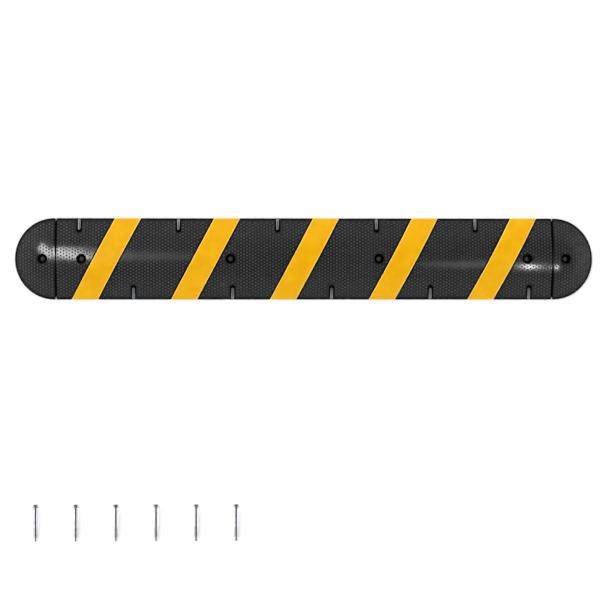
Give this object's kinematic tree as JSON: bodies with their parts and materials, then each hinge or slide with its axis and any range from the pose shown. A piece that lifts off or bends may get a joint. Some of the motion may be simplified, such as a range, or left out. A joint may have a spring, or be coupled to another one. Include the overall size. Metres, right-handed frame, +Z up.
{
  "type": "rubber speed bump",
  "caption": "Ramped black rubber speed bump with half-round end caps, slanted yellow marking panels, edge reflectors, counterbored anchor holes and loose sleeve anchors.",
  "frame": {"origin": "centre of the main module's underside, on the road surface", "axes": "+X along the bump's length, +Y across the road lane away from the loose anchors, +Z up"},
  "size_m": [2.138, 1.1934, 0.055],
  "materials": {
    "black_rubber": "semi-gloss moulded rubber",
    "yellow_marking": "glass-bead reflective marking film",
    "silver_reflector": "silvered glass-bead reflector",
    "zinc_steel": "bright zinc plate"
  },
  "bodies": {
    "speed_bump": {"main_module": "black_rubber", "marking_panel_1": "yellow_marking", "marking_panel_2": "yellow_marking", "marking_panel_3": "yellow_marking", "marking_panel_4": "yellow_marking", "marking_panel_5": "yellow_marking", "back_reflector_1": "silver_reflector", "front_reflector_1": "silver_reflector", "back_reflector_2": "silver_reflector", "front_reflector_2": "silver_reflector", "back_reflector_3": "silver_reflector", "front_reflector_3": "silver_reflector", "back_reflector_4": "silver_reflector", "front_reflector_4": "silver_reflector", "back_reflector_5": "silver_reflector", "front_reflector_5": "silver_reflector"},
    "left_cap": {"left_end_cap": "black_rubber"},
    "right_cap": {"right_end_cap": "black_rubber"},
    "anchor_1": {"anchor_1_sleeve": "zinc_steel", "anchor_1_flat_washer": "zinc_steel", "anchor_1_spring_washer": "zinc_steel"},
    "anchor_1_stud": {"anchor_1_stud": "zinc_steel"},
    "anchor_1_nut": {"anchor_1_nut": "zinc_steel"},
    "anchor_2": {"anchor_2_sleeve": "zinc_steel", "anchor_2_flat_washer": "zinc_steel", "anchor_2_spring_washer": "zinc_steel"},
    "anchor_2_stud": {"anchor_2_stud": "zinc_steel"},
    "anchor_2_nut": {"anchor_2_nut": "zinc_steel"},
    "anchor_3": {"anchor_3_sleeve": "zinc_steel", "anchor_3_flat_washer": "zinc_steel", "anchor_3_spring_washer": "zinc_steel"},
    "anchor_3_stud": {"anchor_3_stud": "zinc_steel"},
    "anchor_3_nut": {"anchor_3_nut": "zinc_steel"},
    "anchor_4": {"anchor_4_sleeve": "zinc_steel", "anchor_4_flat_washer": "zinc_steel", "anchor_4_spring_washer": "zinc_steel"},
    "anchor_4_stud": {"anchor_4_stud": "zinc_steel"},
    "anchor_4_nut": {"anchor_4_nut": "zinc_steel"},
    "anchor_5": {"anchor_5_sleeve": "zinc_steel", "anchor_5_flat_washer": "zinc_steel", "anchor_5_spring_washer": "zinc_steel"},
    "anchor_5_stud": {"anchor_5_stud": "zinc_steel"},
    "anchor_5_nut": {"anchor_5_nut": "zinc_steel"},
    "anchor_6": {"anchor_6_sleeve": "zinc_steel", "anchor_6_flat_washer": "zinc_steel", "anchor_6_spring_washer": "zinc_steel"},
    "anchor_6_stud": {"anchor_6_stud": "zinc_steel"},
    "anchor_6_nut": {"anchor_6_nut": "zinc_steel"}
  },
  "joints": [
    {"name": "left_cap_slide", "type": "slide", "parent": "speed_bump", "child": "left_cap", "axis": [-1, 0, 0], "range_m": [0, 0.1]},
    {"name": "right_cap_slide", "type": "slide", "parent": "speed_bump", "child": "right_cap", "axis": [1, 0, 0], "range_m": [0, 0.1]},
    {"name": "anchor_1_lift", "type": "slide", "parent": "speed_bump", "child": "anchor_1", "axis": [0, 0, 1], "range_m": [0, 0.15]},
    {"name": "anchor_1_nut_turn", "type": "hinge", "parent": "anchor_1", "child": "anchor_1_nut", "pos_m": [-0.993, -0.91017, 0.0144], "axis": [0, -0.9987, -0.0504], "range_deg": [0, 1440]},
    {"name": "anchor_1_stud_draw", "type": "slide", "parent": "anchor_1", "child": "anchor_1_stud", "axis": [0, 0.9987, 0.0504], "range_m": [0, 0.0072]},
    {"name": "anchor_2_lift", "type": "slide", "parent": "speed_bump", "child": "anchor_2", "axis": [0, 0, 1], "range_m": [0, 0.15]},
    {"name": "anchor_2_nut_turn", "type": "hinge", "parent": "anchor_2", "child": "anchor_2_nut", "pos_m": [-0.845, -0.91017, 0.0144], "axis": [0, -0.9987, -0.0504], "range_deg": [0, 1440]},
    {"name": "anchor_2_stud_draw", "type": "slide", "parent": "anchor_2", "child": "anchor_2_stud", "axis": [0, 0.9987, 0.0504], "range_m": [0, 0.0072]},
    {"name": "anchor_3_lift", "type": "slide", "parent": "speed_bump", "child": "anchor_3", "axis": [0, 0, 1], "range_m": [0, 0.15]},
    {"name": "anchor_3_nut_turn", "type": "hinge", "parent": "anchor_3", "child": "anchor_3_nut", "pos_m": [-0.697, -0.91017, 0.0144], "axis": [0, -0.9987, -0.0504], "range_deg": [0, 1440]},
    {"name": "anchor_3_stud_draw", "type": "slide", "parent": "anchor_3", "child": "anchor_3_stud", "axis": [0, 0.9987, 0.0504], "range_m": [0, 0.0072]},
    {"name": "anchor_4_lift", "type": "slide", "parent": "speed_bump", "child": "anchor_4", "axis": [0, 0, 1], "range_m": [0, 0.15]},
    {"name": "anchor_4_nut_turn", "type": "hinge", "parent": "anchor_4", "child": "anchor_4_nut", "pos_m": [-0.549, -0.91017, 0.0144], "axis": [0, -0.9987, -0.0504], "range_deg": [0, 1440]},
    {"name": "anchor_4_stud_draw", "type": "slide", "parent": "anchor_4", "child": "anchor_4_stud", "axis": [0, 0.9987, 0.0504], "range_m": [0, 0.0072]},
    {"name": "anchor_5_lift", "type": "slide", "parent": "speed_bump", "child": "anchor_5", "axis": [0, 0, 1], "range_m": [0, 0.15]},
    {"name": "anchor_5_nut_turn", "type": "hinge", "parent": "anchor_5", "child": "anchor_5_nut", "pos_m": [-0.401, -0.91017, 0.0144], "axis": [0, -0.9987, -0.0504], "range_deg": [0, 1440]},
    {"name": "anchor_5_stud_draw", "type": "slide", "parent": "anchor_5", "child": "anchor_5_stud", "axis": [0, 0.9987, 0.0504], "range_m": [0, 0.0072]},
    {"name": "anchor_6_lift", "type": "slide", "parent": "speed_bump", "child": "anchor_6", "axis": [0, 0, 1], "range_m": [0, 0.15]},
    {"name": "anchor_6_nut_turn", "type": "hinge", "parent": "anchor_6", "child": "anchor_6_nut", "pos_m": [-0.253, -0.91017, 0.0144], "axis": [0, -0.9987, -0.0504], "range_deg": [0, 1440]},
    {"name": "anchor_6_stud_draw", "type": "slide", "parent": "anchor_6", "child": "anchor_6_stud", "axis": [0, 0.9987, 0.0504], "range_m": [0, 0.0072]}
  ],
  "couplings": [
    {"joint": "anchor_1_stud_draw", "follows": "anchor_1_nut_turn", "m_per_rad": 0.00027852},
    {"joint": "anchor_2_stud_draw", "follows": "anchor_2_nut_turn", "m_per_rad": 0.00027852},
    {"joint": "anchor_3_stud_draw", "follows": "anchor_3_nut_turn", "m_per_rad": 0.00027852},
    {"joint": "anchor_4_stud_draw", "follows": "anchor_4_nut_turn", "m_per_rad": 0.00027852},
    {"joint": "anchor_5_stud_draw", "follows": "anchor_5_nut_turn", "m_per_rad": 0.00027852},
    {"joint": "anchor_6_stud_draw", "follows": "anchor_6_nut_turn", "m_per_rad": 0.00027852}
  ]
}
